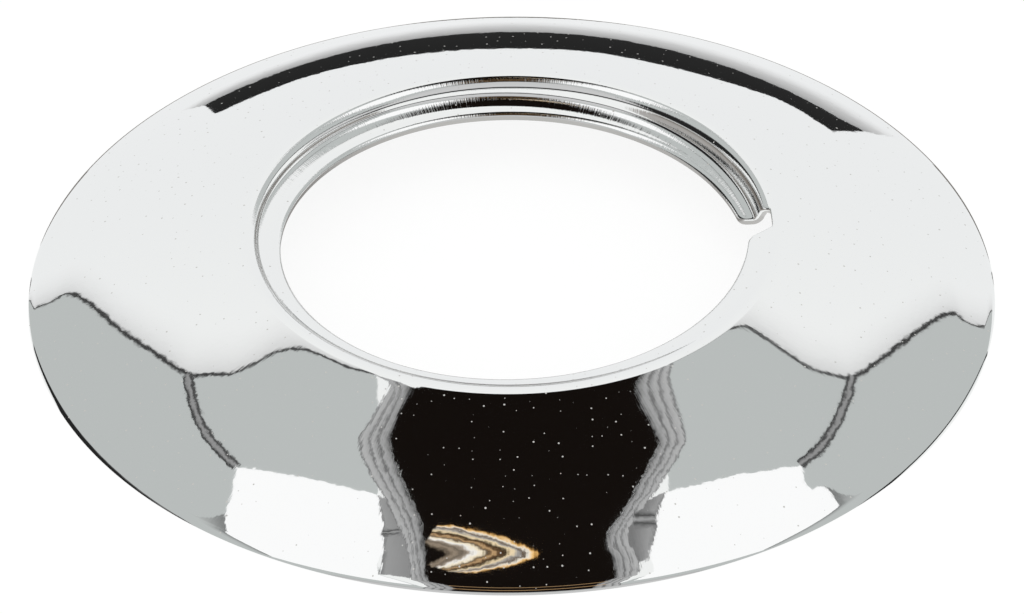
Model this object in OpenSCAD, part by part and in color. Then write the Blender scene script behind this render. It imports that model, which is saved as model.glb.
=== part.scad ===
// Threaded pipe rosette: a shallow domed cover pressed from one thin sheet.
// The edge of its hole is formed into one turn of a right-handed thread lip, which starts
// and ends at a flared slit. Z points away from the wall, and the cut rim rests on z = 0.

/* [Rim and dome] */
// Outside diameter of the rim
rim_d = 51; // [46:0.5:70]
// Height of the crest above the wall
height = 4.4; // [3.9:0.1:6]
// Thickness of the sheet
sheet = 0.4; // [0.3:0.05:0.5]
// Radius of the dome between rim and crest
dome_r = 57; // [40:1:90]
// Radius of the roll-down at the rim
roll_r = 1.4; // [0.8:0.1:2]
// Slope of the sheet at the cut rim, in degrees
rim_slope = 48; // [40:1:60]

/* [Collar] */
// Major diameter of the pipe thread that the collar passes over
thread_major = 26.44; // [24:0.01:30]
// Clearance between that thread and the wall of the collar, on diameter
collar_gap = 0.36; // [0.2:0.01:1]
// Radius from the dome over the crest
crest_r = 1.6; // [1:0.1:2.5]
// Radius of the shoulder where the sheet turns down into the hole
shoulder_r = 0.6; // [0.5:0.05:0.9]

/* [Thread lip] */
// Minor diameter of the pipe thread
thread_minor = 24.12; // [22:0.01:28]
// Clearance between the lip's edge and that minor diameter
lip_gap = 0.18; // [0.05:0.01:0.6]
// Pitch of the thread
pitch = 1.814; // [1:0.001:2.1]
// Drop of the lip where the turn starts, level with the crest
lip_start = 0.03; // [0.02:0.01:0.1]
// Radius of the fold between collar and lip
fold_r = 0.45; // [0.3:0.05:0.7]
// Slope of the lip towards the hole, in degrees
lip_slope = 8; // [4:1:15]
// How much the lip's edge opens from one arc of the turn to the next
edge_step = 0.002; // [0.001:0.001:0.003]

/* [Slit] */
// Width of the slit at the shoulder
slit_w = 1.45; // [0.8:0.05:2.5]
// Direction of the slit, in degrees from X
slit_dir = 3.3; // [0:0.1:20]
// Flare of each side of the slit, in degrees
slit_flare = 38; // [0:1:45]
// Distance from the crest down the shoulder to the floor of the slit
slit_floor = 0.32; // [0.2:0.01:0.4]
// Radius of the corners between the slit and the lip's edge
corner_r = 0.8; // [0.3:0.1:1.2]

/* [Resolution] */
// Stations around the turn of the lip
stations = 108; // [60:1:130]
// Arcs in the edge of the lip
edge_arcs = 24; // [18:1:30]

/* [Hidden] */
rim_rad = rim_d / 2;
edge_rad = (thread_minor + lip_gap) / 2;
// The collar clears the crest of the thread and holds the fold and edge of the lip inside it
wall_rad = max((thread_major + collar_gap) / 2, edge_rad + fold_r + sheet);
crest_rad = wall_rad + shoulder_r;
deg = 180 / PI;

// The outside of the dome is three tangent arcs: crest, dome and roll-down. The slopes
// a1 and a2, where one arc meets the next, follow from the height and the two radii.
p = dome_r - crest_r;
q = dome_r - roll_r;
vx = rim_rad - crest_rad - roll_r * sin(rim_slope);
vz = height - crest_r + roll_r * cos(rim_slope);
v_len = sqrt(vx * vx + vz * vz);
a1 = atan2(vz, vx) + asin((q * q - v_len * v_len - p * p) / (2 * p * v_len));
a2 = asin((vx + p * sin(a1)) / q);

// Centres of the three arcs, as [radius, height]
c1 = [crest_rad, height - crest_r];
c2 = c1 - p * [sin(a1), cos(a1)];
c3 = c2 + q * [sin(a2), cos(a2)];

function arc_points(c, r, from, to, n) =
    [for (i = [0 : n]) let (a = from + (to - from) * i / n) c + r * [sin(a), cos(a)]];

function dome_side(t) = concat(
    arc_points(c1, crest_r - t, 0, a1, 4),
    arc_points(c2, dome_r - t, a1, a2, 14),
    arc_points(c3, roll_r - t, a2, rim_slope, 6));

// The cut face of the rim is level, so the inner line of the sheet stops where it meets z = 0
function reversed(v) = [for (i = [len(v) - 1 : -1 : 0]) v[i]];
foot_step = 0.02;
inner_side = [for (pt = dome_side(sheet)) if (pt[1] > foot_step) pt];
inner_last = inner_side[len(inner_side) - 1];
inner_foot = [inner_last[0] + inner_last[1] / tan(rim_slope), 0];

// Section of the lip for one drop of its foot: shoulder, straight wall, fold, sloped lip.
// A small drop leaves no wall, and shoulder and fold then meet on a slope.
function wall_lean(drop) = acos(max(0, min(cos(lip_slope),
    (shoulder_r + fold_r * cos(lip_slope) - drop) / (shoulder_r + fold_r))));
function wall_run(drop) = max(0, drop - shoulder_r - fold_r * cos(lip_slope));

// Point after walking s along the sheet from the crest: [inward, down, slope]
function walk(drop, s) = let (
        b = wall_lean(drop), w = wall_run(drop),
        s1 = shoulder_r * b / deg, s2 = s1 + w, s3 = s2 + fold_r * (b - lip_slope) / deg,
        p1 = shoulder_r * [sin(b), 1 - cos(b)], p2 = p1 + w * [cos(b), sin(b)],
        p3 = p2 + fold_r * [sin(b) - sin(lip_slope), cos(lip_slope) - cos(b)])
    s < s1 ? let (a = s / shoulder_r * deg) [shoulder_r * sin(a), shoulder_r * (1 - cos(a)), a] :
    s < s2 ? [p1[0] + (s - s1) * cos(b), p1[1] + (s - s1) * sin(b), b] :
    s < s3 ? let (a = b - (s - s2) / fold_r * deg)
        [p2[0] + fold_r * (sin(b) - sin(a)), p2[1] + fold_r * (cos(a) - cos(b)), a] :
    [p3[0] + (s - s3) * cos(lip_slope), p3[1] + (s - s3) * sin(lip_slope), lip_slope];

// Length of sheet from the crest to the radius r
function sheet_length(drop, r) = let (
        b = wall_lean(drop), w = wall_run(drop),
        u3 = shoulder_r * sin(b) + w * cos(b) + fold_r * (sin(b) - sin(lip_slope)))
    shoulder_r * b / deg + w + fold_r * (b - lip_slope) / deg
        + (crest_rad - r - u3) / cos(lip_slope);

// The lip climbs one pitch a turn, from its deep end behind the slit to its start in front
turn_end = slit_dir + 360;
slit_half = slit_w / 2 / wall_rad * deg;
function drop_at(phi) = max(lip_start, lip_start + pitch * (turn_end - slit_half - phi) / 360);

// The corners where the slit meets the edge are round. Stations along the turn are given as
// a share of it, and lie closer together at the corners.
turn = 360 - 2 * slit_half;
corner_len = corner_r * tan((90 - slit_flare) / 2);
corner_share = corner_len / (turn * edge_rad / deg);
corner_steps = 4;
turn_shares = concat(
    [for (i = [0 : corner_steps - 1]) corner_share * i / corner_steps],
    [for (i = [0 : stations]) corner_share + (1 - 2 * corner_share) * i / stations],
    [for (i = [corner_steps - 1 : -1 : 0]) 1 - corner_share * i / corner_steps]);
last_k = len(turn_shares) - 1;

// Radius at which the sheet ends. Between the corners it runs past the cut of the edge.
edge_spare = 0.12;
function sheet_end(share) = let (
        x = min(share, 1 - share) * turn * edge_rad / deg - corner_len,
        b = x * sin(slit_flare) + corner_r * cos(slit_flare))
    x >= 0 ? edge_rad - edge_spare :
    edge_rad + (b - sqrt(max(0, b * b - x * x))) * cos(slit_flare);

// Sheet points: j counts from the crest to the edge, of which slit_j lie above the slit
slit_j = 3;
last_j = 18;
first_step = 0.04;
function length_at(j, drop, end_rad) = j <= slit_j ?
    first_step + (slit_floor - first_step) * j / slit_j :
    slit_floor + (sheet_length(drop, end_rad) - slit_floor) * (j - slit_j) / (last_j - slit_j);
function flare_at(s) = max(0, s - slit_floor) * tan(slit_flare) / wall_rad * deg;

function sheet_point(phi, drop, s, depth) = let (
        w = walk(drop, s), r = crest_rad - w[0] + depth * sin(w[2]))
    [r * cos(phi), r * sin(phi), height - w[1] - depth * cos(w[2])];

// Station k of the lip: the angle runs between the two flared sides of the slit
function station_dir(k) = slit_dir + slit_half + turn * turn_shares[k];
function lip_point(k, j, depth) = let (
        share = turn_shares[k],
        drop = drop_at(station_dir(k)),
        s = length_at(j, drop, sheet_end(share)))
    sheet_point(station_dir(k) + flare_at(s) * (1 - 2 * share), drop, s, depth);

// Stations across the slit, where only the shoulder runs on
slit_stations = 2;
function slit_station_dir(i) = turn_end - slit_half + 2 * slit_half * i / (slit_stations + 1);
function slit_point(i, j, depth) = let (
        f = i / (slit_stations + 1),
        drop = drop_at(slit_dir + slit_half) * f + lip_start * (1 - f))
    sheet_point(slit_station_dir(i), drop, length_at(j, drop, edge_rad), depth);

// The root of the lip is thinner than the sheet and sits inside the dome
root_in = 0.2;
root_skin = 0.1;
function root_point(phi, side) = let (
        r = crest_rad + root_in,
        z = side == 0 ? root_skin : sheet - root_skin)
    [r * cos(phi), r * sin(phi), height - z];

module rosette() {
    color("gainsboro") difference() {
        union() {
            dome();
            lip();
        }
        edge_cutter();
    }
}

module dome() {
    rotate_extrude($fn = 180)
        polygon(concat(dome_side(0), [inner_foot], reversed(inner_side)));
}

// Four corners in order round a face, seen from outside
function quad(a, b, c, d) = [[a, b, c], [a, c, d]];

// Faces between the stations k and k + 1. id(k, j, side) is the index of a point, where j = 0
// is the root and side is 0 on the outside of the sheet and 1 on its inside.
function skin(id, k, rows) = concat(
    [for (j = [0 : rows - 2]) each concat(
        quad(id(k, j, 0), id(k, j + 1, 0), id(k + 1, j + 1, 0), id(k + 1, j, 0)),
        quad(id(k, j, 1), id(k + 1, j, 1), id(k + 1, j + 1, 1), id(k, j + 1, 1)))],
    quad(id(k, 0, 0), id(k + 1, 0, 0), id(k + 1, 0, 1), id(k, 0, 1)),
    quad(id(k, rows - 1, 0), id(k, rows - 1, 1), id(k + 1, rows - 1, 1), id(k + 1, rows - 1, 0)));

module lip() {
    rows = last_j + 2;
    slit_rows = slit_j + 2;
    lip_points = [for (k = [0 : last_k]) each concat(
        [root_point(station_dir(k), 0)], [for (j = [0 : last_j]) lip_point(k, j, 0)],
        [root_point(station_dir(k), 1)], [for (j = [0 : last_j]) lip_point(k, j, sheet)])];
    slit_points = [for (i = [1 : slit_stations]) each concat(
        [root_point(slit_station_dir(i), 0)], [for (j = [0 : slit_j]) slit_point(i, j, 0)],
        [root_point(slit_station_dir(i), 1)], [for (j = [0 : slit_j]) slit_point(i, j, sheet)])];

    lip_id = function (k, j, side) (k * 2 + side) * rows + j;
    slit_id = function (i, j, side)
        i == 0 ? lip_id(last_k, j, side) :
        i == slit_stations + 1 ? lip_id(0, j, side) :
        len(lip_points) + ((i - 1) * 2 + side) * slit_rows + j;

    turn_faces = [for (k = [0 : last_k - 1]) each skin(lip_id, k, rows)];
    slit_faces = [for (i = [0 : slit_stations]) each skin(slit_id, i, slit_rows)];
    // The two cut ends of the lip, from the floor of the slit to the lip's edge
    end_faces = [for (j = [slit_rows - 1 : rows - 2]) each concat(
        quad(lip_id(0, j, 0), lip_id(0, j, 1), lip_id(0, j + 1, 1), lip_id(0, j + 1, 0)),
        quad(lip_id(last_k, j, 0), lip_id(last_k, j + 1, 0),
             lip_id(last_k, j + 1, 1), lip_id(last_k, j, 1)))];
    polyhedron(concat(lip_points, slit_points), concat(turn_faces, slit_faces, end_faces));
}

// Cuts the edge of the lip in short arcs round the axis, each a little wider than the last
module edge_cutter() {
    arc = 360 / edge_arcs;
    over = 1;
    for (i = [0 : edge_arcs - 1])
        rotate([0, 0, slit_dir - arc * (i + 1)])
            rotate_extrude(angle = arc, $fn = 180)
                translate([0, -over]) square([edge_rad + edge_step * i, height + 2 * over]);
}

rosette();
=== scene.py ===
import math

import bmesh
import bpy
import numpy as np
from mathutils import Matrix, Vector, noise


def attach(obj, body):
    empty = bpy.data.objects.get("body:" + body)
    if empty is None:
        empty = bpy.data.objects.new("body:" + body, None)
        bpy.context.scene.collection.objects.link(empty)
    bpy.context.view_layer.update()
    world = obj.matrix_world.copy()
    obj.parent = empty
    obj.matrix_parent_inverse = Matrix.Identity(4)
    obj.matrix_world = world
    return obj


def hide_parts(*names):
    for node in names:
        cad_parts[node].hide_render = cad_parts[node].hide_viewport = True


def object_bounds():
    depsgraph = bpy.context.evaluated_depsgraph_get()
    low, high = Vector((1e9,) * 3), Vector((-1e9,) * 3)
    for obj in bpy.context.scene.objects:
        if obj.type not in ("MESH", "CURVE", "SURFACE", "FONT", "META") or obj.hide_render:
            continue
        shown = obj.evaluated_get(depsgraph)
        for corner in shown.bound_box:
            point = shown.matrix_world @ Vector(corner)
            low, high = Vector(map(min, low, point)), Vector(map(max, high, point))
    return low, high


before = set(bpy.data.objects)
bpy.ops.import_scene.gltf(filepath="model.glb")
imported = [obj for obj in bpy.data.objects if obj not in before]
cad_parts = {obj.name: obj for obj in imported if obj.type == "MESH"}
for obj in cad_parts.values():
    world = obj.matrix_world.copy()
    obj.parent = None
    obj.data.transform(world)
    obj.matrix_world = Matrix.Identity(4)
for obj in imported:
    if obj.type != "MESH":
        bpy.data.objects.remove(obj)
cadLow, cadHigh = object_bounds()
mm = 0.001

# Camera, fitted to the outside rim and the hole. Lengths in mm, angles in degrees.
shot = {
    "lens": 339.5,
    "sensor": 36.0,
    "elevation": 36.775,
    "roll": -0.464,          # the right side sits a little higher
    "distance": 510.0,       # from the centre of the rim
    "aside": 0.02,           # the aim lies this far right of the centre
    "below": 0.643,          # and this far below it
    "clipNear": 10.0,
    "clipFar": 50000.0,
}


def makeCamera():
    tilt, roll = math.radians(shot["elevation"]), math.radians(shot["roll"])
    forward = Vector((0, math.cos(tilt), -math.sin(tilt)))
    right = Vector((1, 0, 0))
    up = Vector((0, math.sin(tilt), math.cos(tilt)))
    place = -forward * shot["distance"] + right * shot["aside"] - up * shot["below"]
    rolledRight = right * math.cos(roll) + up * math.sin(roll)
    rolledUp = -right * math.sin(roll) + up * math.cos(roll)
    data = bpy.data.cameras.new("shot")
    data.lens, data.sensor_width = shot["lens"], shot["sensor"]
    data.clip_start, data.clip_end = shot["clipNear"] * mm, shot["clipFar"] * mm
    camera = bpy.data.objects.new("shot", data)
    turn = Matrix((rolledRight, rolledUp, -forward)).transposed().to_4x4()
    camera.matrix_world = Matrix.Translation(place * mm) @ turn
    bpy.context.scene.collection.objects.link(camera)
    bpy.context.scene.camera = camera
    print("camera placed")


# The pressed sheet. Lengths in mm, angles in degrees.
plate = {
    "thickness": 0.4,
    "domeRadius": 57.0,
    "rollRadius": 1.4,       # roll-down at the rim
    "rimSlope": 48.0,
    "rimGap": 0.02,          # the inside's rows start this far above the wall
    "crestRadius": 1.6,
    "crestPlace": 14.0,      # radius of the crest line
    "shoulderRadius": 0.7,
    "leanMost": 86.0,        # steepest slope of the collar
    "edgeRadius": 12.24,     # edge of the lip
    "edgeShift": 0.28,       # the hole is a little off the centre
    "edgeShiftTurn": -50.0,
    "edgeOval": 0.07,
    "edgeOvalTurn": 21.0,
    "startFall": 0.1,        # how far the edge lies below the crest where the lip begins
    "turnFall": 1.5,         # and how much further after one turn
    "endFall": 0.35,         # the free end bends down further
    "endBend": 25.0,         # over this many degrees
    "foldRadius": 0.38,
    "foldSlope": 27.0,       # slope of the lip as it leaves the fold
    "endSlope": 4.0,         # and at its edge
    "levelRun": 0.9,         # the sheet levels out over this length
    "bendTries": 20,         # halvings that find the collar's bend
    "slitWidth": 1.45,
    "slitTurn": 3.3,         # middle of the slit, turned back from +X
    "slitFlare": 38.0,       # lean of the slit's sides
    "slitFlareReach": 2.4,   # length down the sheet at which the edge's turn is taken
    "slitFloor": 0.32,       # from the crest down the shoulder
    "cornerRadius": 0.8,
    "punchedWidth": 0.29,    # rounding of the lip's punched edge
    "punchedRadius": 0.39,
    "slitRounding": 0.12,
    "dent": 0.004,           # faint unevenness of the pressing, inward only
    "dentSize": 6.0,
    "stations": 400,         # rings round the turn
    "slitStations": 14,
    "nearSteps": (0.08, 0.18),   # the next rings beyond the slit's rounded sides
    "rollRows": 10,
    "domeRows": 36,
    "crestRows": 10,
    "innerEndRows": 4,       # inside of the roll-down and of the crest
    "innerRows": 20,
    "neckStep": 0.1,         # first row down from the crest
    "lipRows": 40,
    "sharpAngle": 40.0,      # edges above this stay sharp
    "pathStep": 0.01,
    "pathLength": 5.0,
    "flatWeight": 0.35,      # share of rows that flat stretches get beside bends
}
# Distances from a cut edge at which rows and stations lie, in shares of its rounding
edgeSpacing = (0.0, 0.03, 0.11, 0.24, 0.42, 0.66, 1.0)


# The outside of the dome is three tangent arcs: roll-down, dome and crest
def domeProfile(skin, rollRows, domeRows, crestRows):
    p = plate
    rim, height = cadHigh.x / mm, cadHigh.z / mm
    crest = p["crestPlace"]
    toCrest, toRoll = p["domeRadius"] - p["crestRadius"], p["domeRadius"] - p["rollRadius"]
    rimSlope = math.radians(p["rimSlope"])
    across = rim - crest - p["rollRadius"] * math.sin(rimSlope)
    down = height - p["crestRadius"] + p["rollRadius"] * math.cos(rimSlope)
    span = math.hypot(across, down)
    lean = (toRoll ** 2 - span ** 2 - toCrest ** 2) / (2 * toCrest * span)
    slopeIn = math.atan2(down, across) + math.asin(lean)
    slopeOut = math.asin((across + toCrest * math.sin(slopeIn)) / toRoll)
    crestMid = np.array([crest, height - p["crestRadius"]])
    domeMid = crestMid - toCrest * np.array([math.sin(slopeIn), math.cos(slopeIn)])
    rollMid = domeMid + toRoll * np.array([math.sin(slopeOut), math.cos(slopeOut)])
    arcs = (
        (rollMid, p["rollRadius"], rimSlope, slopeOut, rollRows),
        (domeMid, p["domeRadius"], slopeOut, slopeIn, domeRows),
        (crestMid, p["crestRadius"], slopeIn, 0.0, crestRows),
    )
    points = []
    for mid, radius, start, end, rows in arcs:
        for slope in np.linspace(start, end, rows, endpoint=False):
            reach = radius - skin
            points.append((mid[0] + reach * math.sin(slope), mid[1] + reach * math.cos(slope)))
    if skin:                 # the cut face of the rim is level
        points = [q for q in points if q[1] > p["rimGap"]]
        points.insert(0, (points[0][0] + points[0][1] / math.tan(rimSlope), 0.0))
    return points


# Walks down the sheet from the crest: length, inward run, fall and slope at each step.
# The bend is the slope that the collar would reach, and past its steepest it is a length of wall.
def lipPath(bend):
    p = plate
    lean = min(bend, math.radians(p["leanMost"]))
    foldEnd = min(lean, math.radians(p["foldSlope"]))
    toWall = p["shoulderRadius"] * lean
    toFold = toWall + bend - lean          # past its steepest slope the collar grows a wall
    toLip = toFold + p["foldRadius"] * (lean - foldEnd)
    length = np.arange(0.0, p["pathLength"], p["pathStep"])
    slope = np.interp(length, [0, toWall, toFold, toLip, toLip + p["levelRun"]],
                      [0, lean, lean, foldEnd, math.radians(p["endSlope"])])
    middle = (slope[1:] + slope[:-1]) / 2
    inward = np.concatenate([[0], np.cumsum(np.cos(middle) * p["pathStep"])])
    fall = np.concatenate([[0], np.cumsum(np.sin(middle) * p["pathStep"])])
    return length, inward, fall, slope


# The path whose edge lies at the wanted place: the bend is found by halving
def lipTo(edgeRadius, edgeFall):
    inward = plate["crestPlace"] - edgeRadius
    low, high = 0.0, math.pi
    for _ in range(plate["bendTries"]):
        bend = (low + high) / 2
        path = lipPath(bend)
        if np.interp(inward, path[1], path[2]) < edgeFall:
            low = bend
        else:
            high = bend
    return path


# How far the edge lies below the crest, at degrees turned back from the end of the lip
def edgeFallAt(turned):
    p = plate
    bent = p["endFall"] * math.exp(-(360 - turned) / p["endBend"])
    return p["startFall"] + p["turnFall"] * turned / 360 + bent


def edgeRadiusAt(turn):
    p = plate
    shift = p["edgeShift"] * math.cos(math.radians(turn - p["edgeShiftTurn"]))
    oval = p["edgeOval"] * math.cos(math.radians(2 * (turn - p["edgeOvalTurn"])))
    return p["edgeRadius"] + shift + oval


# How far a cut edge has rounded the sheet down, at a distance from that edge
def roundedDown(distance, width, radius):
    into = max(0.0, width - distance)
    return radius - math.sqrt(radius ** 2 - into ** 2)


# Rows of one station of the lip, as lengths along the sheet: close at bends and at the edge
def lipRows(path, end):
    p = plate
    length, _, _, slope = path
    weight = p["flatWeight"] + np.abs(np.gradient(slope, p["pathStep"]))
    total = np.cumsum(weight)
    start, stop = np.interp([p["slitFloor"], end - p["punchedWidth"]], length, total)
    rows = np.interp(np.linspace(start, stop, p["lipRows"] + 1)[1:], total, length)
    return list(rows) + [end - p["punchedWidth"] * s for s in edgeSpacing[-2::-1]]


def stationShares(turnLength):
    near = [s * plate["slitRounding"] / turnLength for s in edgeSpacing]
    near += [near[-1] + step / turnLength for step in plate["nearSteps"]]
    even = np.linspace(near[-1], 1 - near[-1], plate["stations"])[1:-1]
    return near + list(even) + [1 - n for n in near[::-1]]


# Builds the sheet as rings of points, one ring round the section at each station
def pressSheet():
    p = plate
    degree = math.pi / 180
    crest, height = p["crestPlace"], cadHigh.z / mm
    collar = crest - p["shoulderRadius"]
    halfSlit = p["slitWidth"] / 2 / collar / degree
    turnStart, turn = p["slitTurn"] + halfSlit, 360 - 2 * halfSlit
    turnLength = turn * degree * p["edgeRadius"]
    flare = math.radians(p["slitFlare"])
    cornerLength = p["cornerRadius"] * math.tan((math.pi / 2 - flare) / 2)
    outer = domeProfile(0.0, p["rollRows"], p["domeRows"], p["crestRows"])
    inner = domeProfile(p["thickness"], p["innerEndRows"], p["innerRows"], p["innerEndRows"])
    rounding = p["slitRounding"]
    neck = [0.0, p["neckStep"]] + [p["slitFloor"] - rounding * s for s in edgeSpacing[::-1]]
    points = []

    def addPoint(radius, angle, z):
        a = angle * degree
        spot = Vector((radius * math.cos(a), radius * math.sin(a), z))
        wave = (noise.noise(spot / p["dentSize"]) - 1) / 2 * p["dent"]
        spot.z += wave * min(1.0, max(0.0, z) / height)
        points.append(spot * mm)
        return len(points) - 1

    # One ring: outside of the dome, down the lip, back along its underside, inside of the dome
    def addRing(base, path, lengths, angleAt, sinkAt):
        def skinPoint(s, skin):
            inward, fall, slope = (np.interp(s, path[0], path[i]) for i in (1, 2, 3))
            return addPoint(crest - inward + skin * math.sin(slope), angleAt(s),
                            height - fall - skin * math.cos(slope))

        ring = [addPoint(r, base, z) for r, z in outer]
        ring += [skinPoint(s, sinkAt(s)) for s in lengths]
        ring += [skinPoint(s, p["thickness"]) for s in reversed(lengths)]
        ring += [addPoint(r, base, z) for r, z in reversed(inner)]
        return ring

    def flareAt(s):
        return max(0.0, s - p["slitFloor"]) * math.tan(flare) / collar / degree

    def endRadius(share, angle):
        edge = edgeRadiusAt(angle)
        back = min(share, 1 - share) * turnLength - cornerLength
        if back >= 0:
            return edge
        reach = back * math.sin(flare) + p["cornerRadius"] * math.cos(flare)
        return edge + (reach - math.sqrt(max(0.0, reach ** 2 - back ** 2))) * math.cos(flare)

    turnRings = []
    for share in stationShares(turnLength):
        base = turnStart + turn * share
        flareEnd = flareAt(p["slitFlareReach"]) * (1 - 2 * share)
        edge = endRadius(share, base + flareEnd)
        path = lipTo(edgeRadiusAt(base), edgeFallAt(turnStart + turn - base))
        end = float(np.interp(crest - edge, path[1], path[0]))
        side = min(share, 1 - share) * turnLength

        def sinkAt(s, end=end, side=side):
            floorGap = p["slitFloor"] - s
            near = math.hypot(side, floorGap) if floorGap > 0 else side * math.cos(flare)
            return max(roundedDown(near, rounding, rounding),
                       roundedDown(end - s, p["punchedWidth"], p["punchedRadius"]))

        def angleAt(s, base=base, share=share):
            return base + flareAt(s) * (1 - 2 * share)

        turnRings.append(addRing(base, path, neck + lipRows(path, end), angleAt, sinkAt))

    slitRings = []
    for i in range(1, p["slitStations"]):
        f = i / p["slitStations"]
        base = turnStart + turn + 2 * halfSlit * f
        path = lipTo(p["edgeRadius"], edgeFallAt(0) * (1 - f) + edgeFallAt(turn) * f)
        slitRings.append(addRing(base, path, neck, lambda s, base=base: base,
                                 lambda s: roundedDown(p["slitFloor"] - s, rounding,
                                                       rounding)))

    faces, cutFaces = [], []
    head, tail = len(outer) + len(neck), len(neck) + len(inner)
    lipEnd = len(outer) + len(neck) + p["lipRows"] + len(edgeSpacing) - 1

    def joinRings(a, b, cutAfter):
        for i in range(len(a)):
            j = (i + 1) % len(a)
            quad = (a[i], a[j], b[j], b[i])
            (cutFaces if i == cutAfter or j == 0 else faces).append(quad)

    for a, b in zip(turnRings, turnRings[1:]):
        joinRings(a, b, lipEnd - 1)
    short = [r[:head] + r[-tail:] for r in (turnRings[-1], turnRings[0])]
    across = [short[0]] + slitRings + [short[1]]
    for a, b in zip(across, across[1:]):
        joinRings(a, b, head - 1)
    for ring in (turnRings[0], turnRings[-1]):      # the two sides of the slit
        for i in range(head - 1, lipEnd - 1):
            under = 2 * lipEnd - 1 - i
            cutFaces.append((ring[i], ring[i + 1], ring[under - 1], ring[under]))
    print("sheet pressed:", len(points), "points")
    return points, faces, cutFaces


def makeRosette():
    points, faces, cutFaces = pressSheet()
    mesh = bpy.data.meshes.new("rosette_sheet")
    mesh.from_pydata(points, [], faces + cutFaces)
    mesh.materials.append(chromePlate("chrome_plate", chrome["colour"], chrome["roughness"]))
    mesh.materials.append(chromePlate("chrome_cut", chrome["cutColour"], chrome["cutRoughness"]))
    mesh.polygons.foreach_set("material_index", [0] * len(faces) + [1] * len(cutFaces))
    form = bmesh.new()
    form.from_mesh(mesh)
    bmesh.ops.recalc_face_normals(form, faces=form.faces)
    for face in form.faces:
        face.smooth = True
    for edge in form.edges:
        edge.smooth = edge.calc_face_angle(0) <= math.radians(plate["sharpAngle"])
    form.to_mesh(mesh)
    form.free()
    piece = bpy.data.objects.new("rosette_sheet", mesh)
    bpy.context.scene.collection.objects.link(piece)
    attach(piece, "root")
    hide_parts("rosette")
    print("rosette made:", len(mesh.polygons), "faces")


# Small helper for node trees: adds a node, sets its inputs, and returns it
def addNode(tree, kind, inputs=None, **settings):
    node = tree.nodes.new(kind)
    for name, value in settings.items():
        setattr(node, name, value)
    for name, value in (inputs or {}).items():
        if isinstance(value, bpy.types.NodeSocket):
            tree.links.new(value, node.inputs[name])
        else:
            node.inputs[name].default_value = value
    return node


def mathNode(tree, operation, *values):
    inputs = dict(enumerate(values))
    return addNode(tree, "ShaderNodeMath", inputs, operation=operation).outputs[0]


# Chrome plate on the pressed sheet
chrome = {
    "colour": (0.88, 0.885, 0.885, 1.0),
    "speckColour": (0.55, 0.54, 0.52, 1.0),
    "cutColour": (0.50, 0.49, 0.48, 1.0),
    "roughness": 0.012,
    "smudge": 0.02,              # what smudges add to the roughness
    "smudgeScale": 90.0,
    "smudgeDetail": 4.0,
    "cutRoughness": 0.28,
    "streakSize": 0.12 * mm,     # width of the fine marks that run from crest to rim
    "streakHeight": 0.00025 * mm,
    "streakDetail": 3.0,
    "streakDrift": 300.0,        # how fast they change along the radius
    "middle": 19 * mm,           # radius at which they have their width
    "peelSize": 0.9 * mm,
    "peelHeight": 0.0016 * mm,
    "peelDetail": 2.0,
    "drawHeight": 0.006 * mm,    # height of the marks inside the collar
    "drawStart": 14.1 * mm,      # radius at which they begin
    "drawFull": 13.7 * mm,
    "speckCell": 0.75 * mm,      # dust: one speck at most in each cell
    "speckShare": 0.5,           # share of the cells that have one
    "speckRadius": 0.07,         # largest speck, as a share of its cell
}


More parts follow.
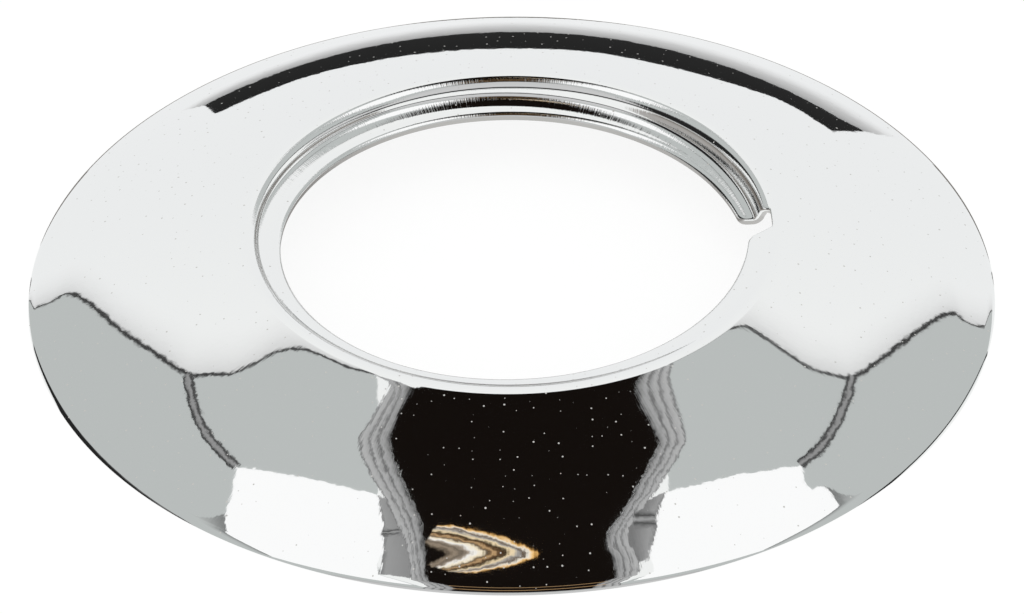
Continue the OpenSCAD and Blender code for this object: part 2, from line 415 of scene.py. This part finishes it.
def chromePlate(name, colour, roughness):
    c = chrome
    material = bpy.data.materials.new(name)
    material.use_nodes = True
    tree = material.node_tree
    tree.nodes.clear()
    place = addNode(tree, "ShaderNodeTexCoord").outputs["Object"]
    split = addNode(tree, "ShaderNodeSeparateXYZ", {0: place})
    flat = addNode(tree, "ShaderNodeCombineXYZ", {0: split.outputs[0], 1: split.outputs[1]})
    radius = addNode(tree, "ShaderNodeVectorMath", {0: flat.outputs[0]}, operation="LENGTH")
    heading = addNode(tree, "ShaderNodeVectorMath", {0: flat.outputs[0]},
                      operation="NORMALIZE")
    # Marks from crest to rim change along the turn and hardly along the radius
    turnScale = c["middle"] / c["streakSize"]
    around = addNode(tree, "ShaderNodeVectorMath",
                     {0: heading.outputs[0], 1: (turnScale, turnScale, 0)},
                     operation="MULTIPLY")
    drift = mathNode(tree, "MULTIPLY", radius.outputs["Value"], c["streakDrift"])
    outward = addNode(tree, "ShaderNodeCombineXYZ", {2: drift})
    grain = addNode(tree, "ShaderNodeVectorMath", {0: around.outputs[0], 1: outward.outputs[0]},
                    operation="ADD")
    streaks = addNode(tree, "ShaderNodeTexNoise",
                      {"Vector": grain.outputs[0], "Scale": 1.0,
                       "Detail": c["streakDetail"]})
    peel = addNode(tree, "ShaderNodeTexNoise",
                   {"Vector": place, "Scale": 1 / c["peelSize"],
                    "Detail": c["peelDetail"]})
    smudge = addNode(tree, "ShaderNodeTexNoise",
                     {"Vector": place, "Scale": c["smudgeScale"],
                      "Detail": c["smudgeDetail"]})
    collar = addNode(tree, "ShaderNodeMapRange",
                     {"Value": radius.outputs["Value"], "From Min": c["drawStart"],
                      "From Max": c["drawFull"]})
    # Dust: a small speck in some of the cells
    cells = addNode(tree, "ShaderNodeTexVoronoi",
                    {"Vector": place, "Scale": 1 / c["speckCell"]}, voronoi_dimensions="2D")
    chance = addNode(tree, "ShaderNodeSeparateColor", {0: cells.outputs["Color"]})
    size = mathNode(tree, "MULTIPLY", chance.outputs[1], c["speckRadius"])
    inside = mathNode(tree, "LESS_THAN", cells.outputs["Distance"], size)
    picked = mathNode(tree, "LESS_THAN", chance.outputs[0], c["speckShare"])
    speck = mathNode(tree, "MULTIPLY", inside, picked)

    tint = addNode(tree, "ShaderNodeMix", data_type="RGBA")
    tree.links.new(speck, tint.inputs[0])
    tint.inputs[6].default_value = colour
    tint.inputs[7].default_value = c["speckColour"]
    rough = mathNode(tree, "MULTIPLY_ADD", smudge.outputs["Fac"], c["smudge"], roughness)
    rough = mathNode(tree, "MAXIMUM", rough, speck)
    metal = mathNode(tree, "SUBTRACT", 1.0, speck)

    streakBump = addNode(tree, "ShaderNodeBump",
                         {"Height": streaks.outputs["Fac"], "Distance": c["streakHeight"]})
    peelBump = addNode(tree, "ShaderNodeBump",
                       {"Height": peel.outputs["Fac"], "Distance": c["peelHeight"],
                        "Normal": streakBump.outputs[0]})
    drawn = mathNode(tree, "MULTIPLY", streaks.outputs["Fac"], collar.outputs[0])
    drawBump = addNode(tree, "ShaderNodeBump",
                       {"Height": drawn, "Distance": c["drawHeight"],
                        "Normal": peelBump.outputs[0]})
    surface = addNode(tree, "ShaderNodeBsdfPrincipled",
                      {"Base Color": tint.outputs[2], "Metallic": metal, "Roughness": rough,
                       "Normal": drawBump.outputs[0]})
    addNode(tree, "ShaderNodeOutputMaterial", {"Surface": surface.outputs[0]})
    return material


# The studio that the chrome mirrors. Each card lies between two curves on a wide globe round
# the object. A place on the globe is written as seen straight up from the object: (0, 0) is
# overhead, +x is right, +y is away from the camera, and the horizon is at distance 1.
# Widths and gaps of the cards are in the same unit.
studio = {
    "reach": 2.0,            # radius of the globe in metres
    "layerStep": 0.06,       # each layer of cards hangs this share of it further in
    "cardSteps": 64,
    "cardRows": 12,
    "lineRows": 2,
    "waverDetail": 4.0,
    "tent": (0.975, 0.985, 0.975),
    "tentBack": (0.92, 0.93, 0.935),
    "backStart": 0.4,        # where the tent starts to take its back's colour
    "backFull": 1.0,
    "greyPanel": (0.545, 0.57, 0.562),
    "softbox": 1.085,
    "black": (0.007, 0.005, 0.004),
    "seamWidth": .0070,
    "diagonalWidth": .0095,
    "boxLeftWidth": .009,
    "boxRightWidth": .020,
    "glintHighWidth": .020,
    "glintLowWidth": .024,
    "shadeReach": (.012, .075),      # from the grey cards' top, inward and back
    "cornerReach": .055,             # outward from the softboxes
    "boxGap": .004,                  # between the boxes and the curtains
}
# How far the tones of a card waver, as a share of its width, and how fast along its length
wavers = {
    "none": (0.0, 0.0),
    "seam": (0.25, 60.0),
    "diagonal": (0.3, 60.0),
    "side": (0.2, 20.0),
    "low": (0.1, 20.0),
    "folds": (0.16, 18.0),
    "foil": (0.08, 14.0),
    "glint": (0.5, 12.0),
}


# A smooth curve through listed points
def smoothCurve(points):
    count = studio["cardSteps"]
    knots = [np.array(point, float) for point in points]
    knots = [2 * knots[0] - knots[1]] + knots + [2 * knots[-1] - knots[-2]]
    spans = len(knots) - 3
    curve = []
    for i in range(count + 1):
        t = i / count * spans
        k = min(int(t), spans - 1)
        t -= k
        a, b, c, d = knots[k:k + 4]
        curve.append(0.5 * (2 * b + (c - a) * t + (2 * a - 5 * b + 4 * c - d) * t ** 2
                            + (3 * b - a - 3 * c + d) * t ** 3))
    return curve


def onGlobe(spot, layer):
    x, y = spot
    reach = studio["reach"] * (1 - studio["layerStep"] * layer)
    k = 1 + x * x + y * y
    return Vector((2 * x / k, 2 * y / k, (2 - k) / k)) * reach


# Emission of a card from stops (share across, colour, cover), with a waver along its length
def cardMaterial(name, stops, waver):
    material = bpy.data.materials.new(name)
    material.use_nodes = True
    tree = material.node_tree
    tree.nodes.clear()
    uv = addNode(tree, "ShaderNodeTexCoord").outputs["UV"]
    split = addNode(tree, "ShaderNodeSeparateXYZ", {0: uv})
    across = split.outputs[1]
    amount, scale = wavers[waver]
    if amount:
        shake = addNode(tree, "ShaderNodeTexNoise",
                        {"Scale": scale, "Detail": studio["waverDetail"], "W": split.outputs[0]},
                        noise_dimensions="1D")
        offset = mathNode(tree, "SUBTRACT", shake.outputs["Fac"], 0.5)
        offset = mathNode(tree, "MULTIPLY", offset, amount)
        across = mathNode(tree, "ADD", across, offset)
    ramp = addNode(tree, "ShaderNodeValToRGB", {"Fac": across})
    marks = ramp.color_ramp.elements       # starts with one mark at 0 and one at 1
    for share, colour, cover in stops:
        mark = marks[0] if share == 0.0 else marks[-1] if share == 1.0 else marks.new(share)
        rgb = colour if isinstance(colour, tuple) else (colour,) * 3
        mark.color = (*rgb, cover)
    light = addNode(tree, "ShaderNodeEmission", {"Color": ramp.outputs[0], "Strength": 1.0})
    clear = addNode(tree, "ShaderNodeBsdfTransparent")
    both = addNode(tree, "ShaderNodeMixShader",
                   {0: ramp.outputs[1], 1: clear.outputs[0], 2: light.outputs[0]})
    addNode(tree, "ShaderNodeOutputMaterial", {"Surface": both.outputs[0]})
    return material


# A card between two curves. A higher layer hangs further in and covers the lower ones.
def addCard(name, a, b, rows, layer, stops, waver):
    steps = studio["cardSteps"]
    points, faces, uvs = [], [], []
    for i in range(steps + 1):
        for j in range(rows + 1):
            spot = a[i] * (1 - j / rows) + b[i] * j / rows
            points.append(onGlobe(spot, layer))
    for i in range(steps):
        for j in range(rows):
            k = i * (rows + 1) + j
            faces.append((k, k + 1, k + rows + 2, k + rows + 1))
            uvs += [(i / steps, j / rows), (i / steps, (j + 1) / rows),
                    ((i + 1) / steps, (j + 1) / rows), ((i + 1) / steps, j / rows)]
    mesh = bpy.data.meshes.new(name)
    mesh.from_pydata(points, [], faces)
    layerUv = mesh.uv_layers.new(name="UVMap")
    layerUv.data.foreach_set("uv", [n for uv in uvs for n in uv])
    mesh.materials.append(cardMaterial(name, stops, waver))
    card = bpy.data.objects.new(name, mesh)
    bpy.context.scene.collection.objects.link(card)
    card.visible_camera = False
    card.visible_diffuse = False
    card.visible_shadow = False


def hangCard(name, edgeA, edgeB, layer, stops, waver="none"):
    addCard(name, smoothCurve(edgeA), smoothCurve(edgeB), studio["cardRows"], layer, stops, waver)


# A seam or line: a narrow card along a path
def hangLine(name, path, width, layer, stops, waver="none"):
    middle = smoothCurve(path)
    low, high = [], []
    for before, spot, after in zip([middle[0]] + middle, middle, middle[1:] + [middle[-1]]):
        ahead = (after - before) / np.linalg.norm(after - before)
        off = np.array([-ahead[1], ahead[0]]) * width / 2
        low.append(spot - off)
        high.append(spot + off)
    addCard(name, low, high, studio["lineRows"], layer, stops, waver)


def plain(colour):           # one tone all over
    return [(0.0, colour, 1.0), (1.0, colour, 1.0)]


# Colours across the cards: share of the way across, grey or colour, cover
tones = {
    "shade": [(0.0, 0.62, 0.75), (0.35, 0.75, 0.4), (1.0, 0.95, 0.0)],
    "seam": [(0.0, 0.30, 0.0), (0.3, 0.05, 1.0), (0.65, 0.05, 1.0), (1.0, 0.35, 0.0)],
    "double": [(0.0, 0.05, 1.0), (0.18, 0.05, 1.0), (0.32, 0.30, 1.0), (0.55, 0.34, 1.0),
               (0.72, 0.06, 1.0), (0.9, 0.08, 1.0), (1.0, 0.2, 0.0)],
    "dark": [(0.0, 0.2, 1.0), (0.1, 0.02, 1.0), (0.9, 0.02, 1.0), (1.0, 0.2, 1.0)],
    "umber": [(0.0, (0.05, 0.04, 0.035), 1.0), (0.4, (0.03, 0.025, 0.02), 1.0),
              (1.0, (0.30, 0.27, 0.24), 1.0)],
    "low": [(0.0, (0.12, 0.11, 0.10), 1.0), (0.25, (0.34, 0.32, 0.30), 1.0),
            (1.0, (0.52, 0.51, 0.50), 1.0)],
    "cross": [(0.0, 0.2, 0.0), (0.3, 0.07, 1.0), (0.5, 0.4, 1.0), (0.7, 0.05, 1.0),
              (1.0, 0.2, 0.0)],
    "corner": [(0.0, 0.10, 0.75), (0.4, 0.25, 0.35), (1.0, 0.45, 0.0)],
    "folds": [(0.0, 0.5, 0.0), (0.05, 0.10, 1.0), (0.12, 0.52, 1.0), (0.30, 0.42, 1.0),
              (0.36, 0.16, 1.0), (0.43, 0.50, 1.0), (0.58, 0.36, 1.0), (0.64, 0.12, 1.0),
              (0.72, 0.44, 1.0), (0.88, 0.30, 1.0), (1.0, 0.05, 1.0)],
    "boxLeft": [(0.0, 0.2, 1.0), (0.15, 0.36, 1.0), (1.0, 0.28, 1.0)],
    "boxRight": [(0.0, 0.2, 1.0), (0.15, 0.36, 1.0), (1.0, 0.16, 1.0)],
    "foil": [(0.0, (0.55, 0.25, 0.05), 0.6), (0.05, (1.0, 0.62, 0.22), 1.0),
             (0.10, (1.0, 0.95, 0.85), 1.0), (0.15, (0.10, 0.06, 0.03), 1.0),
             (0.22, (0.42, 0.40, 0.38), 1.0), (0.29, (1.0, 0.80, 0.50), 1.0),
             (0.35, (0.03, 0.02, 0.01), 1.0), (0.43, (0.14, 0.08, 0.04), 1.0),
             (0.48, (0.62, 0.40, 0.20), 1.0), (0.54, (0.05, 0.03, 0.02), 1.0),
             (0.60, (1.0, 0.86, 0.62), 1.0), (0.68, (1.0, 0.98, 0.94), 1.0),
             (0.74, (0.40, 0.33, 0.26), 1.0), (0.82, (0.16, 0.13, 0.10), 1.0),
             (0.9, (0.34, 0.27, 0.20), 1.0), (1.0, (0.02, 0.015, 0.01), 1.0)],
    "glint": [(0.0, (0.3, 0.15, 0.05), 0.0), (0.5, (0.85, 0.55, 0.28), 1.0),
              (1.0, (0.3, 0.15, 0.05), 0.0)],
    "frontLight": [(0.0, 0.45, 1.0), (0.08, 0.62, 1.0), (0.8, 0.66, 1.0), (1.0, 0.5, 1.0)],
    "frontDark": [(0.0, 0.06, 1.0), (0.1, 0.012, 1.0), (0.9, 0.012, 1.0), (1.0, 0.1, 1.0)],
    "haze": [(0.0, 0.40, 1.0), (0.45, 0.60, 0.9), (1.0, 0.85, 0.0)],
    "band": [(0.0, 0.05, 1.0), (0.06, 0.024, 1.0), (1.0, 0.02, 1.0)],
}

# Edges of the cards, as places on the globe. Names that end in Left and Right hang there.
cardEdges = {
    "blackLeft": [(-.080, .217), (-.090, .195), (-.100, .167), (-.103, .148), (-.096, .115),
                  (-.085, .075), (-.079, .050), (-.078, .020), (-.077, -.010), (-.070, -.10),
                  (-.075, -.20), (-.095, -.30)],
    "blackRight": [(.104, .242), (.102, .210), (.110, .185), (.120, .160), (.121, .143),
                   (.110, .110), (.095, .070), (.083, .045), (.081, .028), (.088, .010),
                   (.090, -.020), (.095, -.10), (.105, -.20), (.120, -.30)],
    "curtainLeft": [(-.118, .250), (-.101, .226), (-.113, .195), (-.127, .167), (-.130, .150),
                    (-.122, .120), (-.108, .080), (-.098, .050), (-.092, .020), (-.092, -.010),
                    (-.100, -.10), (-.115, -.20), (-.145, -.30)],
    "curtainRight": [(.130, .262), (.132, .225), (.140, .195), (.146, .165), (.142, .145),
                     (.130, .115), (.115, .080), (.103, .055), (.101, .038), (.112, .012),
                     (.112, -.020), (.125, -.10), (.142, -.20), (.170, -.30)],
    "greyLeftTop": [(-.66, .85), (-.60, .76), (-.52, .66), (-.45, .60), (-.385, .567),
                    (-.365, .560), (-.35, .525), (-.33, .455), (-.31, .40), (-.29, .355),
                    (-.27, .313), (-.25, .300), (-.232, .291), (-.213, .294), (-.193, .302),
                    (-.172, .296), (-.15, .275), (-.13, .255), (-.110, .245)],
    "greyLeftLow": [(-.68, .62), (-.57, .10), (-.50, -.34), (-.13, -.32)],
    "greyRightTop": [(.60, .68), (.52, .61), (.45, .55), (.385, .500), (.368, .503),
                     (.355, .480), (.34, .44), (.325, .40), (.305, .35), (.285, .310),
                     (.27, .303), (.25, .300), (.232, .307), (.21, .322), (.195, .331),
                     (.18, .330), (.165, .318), (.145, .290), (.125, .262)],
    "greyRightLow": [(.70, .56), (.60, .10), (.52, -.34), (.15, -.32)],
    "softLeftOut": [(-.237, .166), (-.241, .140), (-.250, .115), (-.262, .080), (-.32, .0),
                    (-.38, -.20)],
    "softLeftIn": [(-.115, .092), (-.113, .060), (-.113, .030), (-.120, .0), (-.13, -.2)],
    "softRightOut": [(.247, .166), (.250, .150), (.258, .143), (.272, .147), (.310, .10),
                     (.36, .0), (.40, -.20)],
    "softRightIn": [(.130, .096), (.124, .070), (.122, .045), (.118, .020), (.125, .0),
                    (.16, -.2)],
    "bandFar": [(-.222, 1.00), (-.20, 1.03), (-.15, 1.085), (-.10, 1.13), (-.05, 1.157),
                (0, 1.167), (.05, 1.157), (.10, 1.122), (.15, 1.07), (.20, 1.008),
                (.24, .95), (.265, .925)],
    "bandNear": [(-.217, .932), (-.19, .957), (-.15, .993), (-.10, 1.018), (-.04, 1.03),
                 (.05, 1.028), (.10, 1.00), (.15, .968), (.20, .937), (.243, .868)],
    "bandHaze": [(-.240, 1.02), (-.20, 1.09), (-.15, 1.16), (-.10, 1.23), (0, 1.30),
                 (.10, 1.24), (.15, 1.18), (.20, 1.11), (.25, 1.03), (.29, .965)],
    "frontHigh": [(-.74, .06), (-.70, -.25), (-.50, -.36), (-.24, -.28), (0, -.30),
                  (.26, -.28), (.50, -.36), (.64, -.25), (.66, .06)],
    "frontLow": [(-.86, .10), (-.84, -.26), (-.66, -.56), (-.36, -.76), (0, -.83),
                 (.36, -.76), (.66, -.56), (.80, -.26), (.80, .10)],
    "frontFloor": [(-.90, .10), (-.90, -.30), (-.80, -.68), (-.46, -1.0), (0, -1.16),
                   (.46, -1.0), (.80, -.68), (.86, -.30), (.84, .10)],
    "sideLeftIn": [(-.66, .62), (-.58, .42), (-.555, .20), (-.55, 0), (-.52, -.20),
                   (-.47, -.38)],
    "sideLeftOut": [(-.69, .62), (-.68, .42), (-.86, .20), (-1.05, 0), (-1.10, -.22),
                    (-1.0, -.50)],
    "sideRightIn": [(.70, .58), (.62, .42), (.59, .20), (.58, 0), (.56, -.20), (.51, -.38)],
    "sideRightOut": [(.72, .58), (.65, .42), (.635, .20), (.63, 0), (.62, -.22), (.58, -.42)],
    "backRightIn": [(.62, .92), (.70, .84), (.80, .70), (.86, .55), (.90, .35)],
    "backRightOut": [(.66, 1.06), (.78, .94), (.90, .78), (1.0, .60), (1.05, .38)],
    "backLeftIn": [(-.62, .92), (-.70, .84), (-.80, .70), (-.86, .55), (-.90, .35)],
    "backLeftOut": [(-.66, 1.20), (-.82, 1.12), (-1.0, 1.0), (-1.15, .80), (-1.20, .35)],
    "lowBackIn": [(-.50, 1.22), (-.30, 1.30), (0, 1.36), (.30, 1.30), (.50, 1.22)],
    "lowBackOut": [(-.60, 2.2), (0, 2.4), (.60, 2.2)],
    "lowLeftIn": [(-.38, 1.15), (-.60, 1.12), (-.90, 1.02), (-1.15, .80), (-1.16, .35),
                  (-1.05, 0), (-1.10, -.22), (-1.0, -.50)],
    "lowLeftOut": [(-.50, 2.2), (-.90, 2.1), (-1.5, 1.8), (-1.95, 1.3), (-2.1, .50),
                   (-2.1, 0), (-2.0, -.50), (-1.6, -1.2)],
    "lowRightIn": [(.38, 1.15), (.55, 1.05), (.75, .90), (.92, .68), (1.00, .38),
                   (.95, .05), (.95, -.22), (.85, -.50)],
    "lowRightOut": [(.50, 2.2), (.90, 2.1), (1.5, 1.8), (1.95, 1.3), (2.1, .50),
                    (2.1, 0), (2.0, -.50), (1.6, -1.2)],
    "foilOut": [(-.066, .049), (-.045, .046), (-.02, .037), (.005, .026), (.022, .0145),
                (.008, .005), (-.014, -.001), (-.035, -.004), (-.050, -.003)],
    "foilIn": [(-.078, .030), (-.074, .027), (-.068, .024), (-.062, .021), (-.060, .018),
               (-.064, .015), (-.068, .012), (-.072, .009), (-.076, .007)],
}
# Paths of the narrow cards
linePaths = {
    "diagonalLeft": [(-.270, .313), (-.268, .27), (-.262, .23), (-.250, .195), (-.236, .165)],
    "diagonalRight": [(.285, .312), (.281, .27), (.273, .23), (.262, .195), (.246, .166)],
    "boxLeft": [(-.115, .049), (-.098, .047)],
    "boxRight": [(.104, .060), (.123, .063)],
    "goldHigh": [(-.07, -.105), (0, -.115), (.10, -.10)],
    "goldLow": [(-.08, -.205), (0, -.22), (.12, -.20)],
}


def shifted(path, dx, dy):
    return [(x + dx, y + dy) for x, y in path]


# What hangs at both sides. Inward is +1 at the left, where it means towards +X, and else -1.
def hangSide(side, inward):
    e, s, name = cardEdges, studio, side.lower()
    top, low = e["grey" + side + "Top"], e["grey" + side + "Low"]
    softOut, softIn = e["soft" + side + "Out"], e["soft" + side + "In"]
    shadeIn, shadeBack = s["shadeReach"]
    hangCard("card_grey_" + name, top, low, 0, plain(s["greyPanel"]))
    hangCard("shade_" + name, top, shifted(top, shadeIn * inward, shadeBack), 1, tones["shade"])
    hangCard("softbox_" + name, softOut, softIn, 1, plain(s["softbox"]))
    hangLine("seam_" + name, top, s["seamWidth"], 2, tones["seam"], "seam")
    hangLine("seam_diagonal_" + name, linePaths["diagonal" + side], s["diagonalWidth"], 3,
             tones["double"], "diagonal")
    hangLine("box_line_" + name, linePaths["box" + side], s["box" + side + "Width"], 3,
             tones["cross"])
    corner = softOut[2:]     # the softbox's side, below its back corner
    hangCard("shade_box_" + name, corner, shifted(corner, -s["cornerReach"] * inward, 0), 1,
             tones["corner"])
    # Cards low at the sides, which the collar mirrors
    hangCard("side_" + name, e["side" + side + "In"], e["side" + side + "Out"], 4,
             tones["dark"], "side")
    hangCard("back_" + name, e["back" + side + "In"], e["back" + side + "Out"], 3,
             tones["umber"], "low")
    hangCard("low_" + name, e["low" + side + "In"], e["low" + side + "Out"], 2,
             tones["low"], "low")
    # The curtain beside the black overhead, and the box that fills the gap to the softbox
    curtain = e["curtain" + side]
    hangCard("curtain_" + name, curtain, e["black" + side], 2, tones["folds"], "folds")
    hangCard("box_" + name, softIn[:4], shifted(curtain[6:10], s["boxGap"] * inward, 0), 1,
             tones["box" + side])


def makeStudio():
    e, s = cardEdges, studio
    hangSide("Left", 1)
    hangSide("Right", -1)
    hangCard("black_overhead", e["blackLeft"], e["blackRight"], 3, plain(s["black"]))
    # Foil folded to nested arrowheads: its tones run from the outline to the dark middle
    hangCard("gold_foil", e["foilOut"], e["foilIn"], 4, tones["foil"], "foil")
    hangLine("glint_high", linePaths["goldHigh"], s["glintHighWidth"], 4, tones["glint"], "glint")
    hangLine("glint_low", linePaths["goldLow"], s["glintLowWidth"], 4, tones["glint"], "glint")
    # In front of the object and behind it, round the horizon
    hangCard("front_light", e["frontHigh"], e["frontLow"], 1, tones["frontLight"])
    hangCard("front_dark", e["frontLow"], e["frontFloor"], 2, tones["frontDark"])
    hangCard("band_haze", e["bandFar"], e["bandHaze"], 1, tones["haze"])
    hangCard("band_black", e["bandFar"], e["bandNear"], 2, tones["band"])
    hangCard("low_back", e["lowBackIn"], e["lowBackOut"], 2, tones["low"], "low")
    print("studio hung")


# The world is a white tent, a little darker at the back. The camera sees it as plain white.
def makeWorld():
    world = bpy.data.worlds.new("tent")
    bpy.context.scene.world = world
    world.use_nodes = True
    tree = world.node_tree
    tree.nodes.clear()
    way = addNode(tree, "ShaderNodeTexCoord").outputs["Generated"]
    split = addNode(tree, "ShaderNodeSeparateXYZ", {0: way})
    depth = addNode(tree, "ShaderNodeMapRange",
                    {"Value": split.outputs[1], "From Min": studio["backStart"],
                     "From Max": studio["backFull"]})
    tent = addNode(tree, "ShaderNodeMix", data_type="RGBA")
    tree.links.new(depth.outputs[0], tent.inputs[0])
    tent.inputs[6].default_value = (*studio["tent"], 1)
    tent.inputs[7].default_value = (*studio["tentBack"], 1)
    lightPath = addNode(tree, "ShaderNodeLightPath")
    seen = addNode(tree, "ShaderNodeMix", data_type="RGBA")
    tree.links.new(lightPath.outputs["Is Camera Ray"], seen.inputs[0])
    tree.links.new(tent.outputs[2], seen.inputs[6])
    seen.inputs[7].default_value = (1, 1, 1, 1)
    sky = addNode(tree, "ShaderNodeBackground", {"Color": seen.outputs[2], "Strength": 1.0})
    addNode(tree, "ShaderNodeOutputWorld", {"Surface": sky.outputs[0]})


# A white floor that keeps a faint shadow of the object
floor = {
    "radius": 6.0,           # metres
    "segments": 96,
    "drop": 0.01 * mm,       # below the rim, so that the two faces never lie in one plane
    "lift": 0.8,             # share of its white that shadows don't darken
    "brighten": 0.02,        # makes up for a tent that is not quite white
    "bounce": 0.9,           # its colour for other rays than the camera's
}


def makeFloor():
    form = bmesh.new()
    bmesh.ops.create_circle(form, cap_ends=True, segments=floor["segments"],
                            radius=floor["radius"])
    mesh = bpy.data.meshes.new("floor")
    form.to_mesh(mesh)
    form.free()
    material = bpy.data.materials.new("floor_white")
    material.use_nodes = True
    tree = material.node_tree
    tree.nodes.clear()
    keep, bounce = 1 - floor["lift"], floor["bounce"]
    matte = addNode(tree, "ShaderNodeBsdfDiffuse", {"Color": (bounce, bounce, bounce, 1)})
    shaded = addNode(tree, "ShaderNodeBsdfDiffuse", {"Color": (keep, keep, keep, 1)})
    glow = addNode(tree, "ShaderNodeEmission", {"Strength": floor["lift"] + floor["brighten"]})
    white = addNode(tree, "ShaderNodeAddShader", {0: shaded.outputs[0], 1: glow.outputs[0]})
    lightPath = addNode(tree, "ShaderNodeLightPath")
    both = addNode(tree, "ShaderNodeMixShader",
                   {0: lightPath.outputs["Is Camera Ray"], 1: matte.outputs[0],
                    2: white.outputs[0]})
    addNode(tree, "ShaderNodeOutputMaterial", {"Surface": both.outputs[0]})
    mesh.materials.append(material)
    ground = bpy.data.objects.new("floor", mesh)
    bpy.context.scene.collection.objects.link(ground)
    ground.location.z = -floor["drop"]
    ground.visible_glossy = False    # the sheet mirrors the studio down to below the horizon


makeCamera()
makeWorld()
makeFloor()
makeStudio()
makeRosette()
bpy.context.scene.view_settings.view_transform = "Standard"
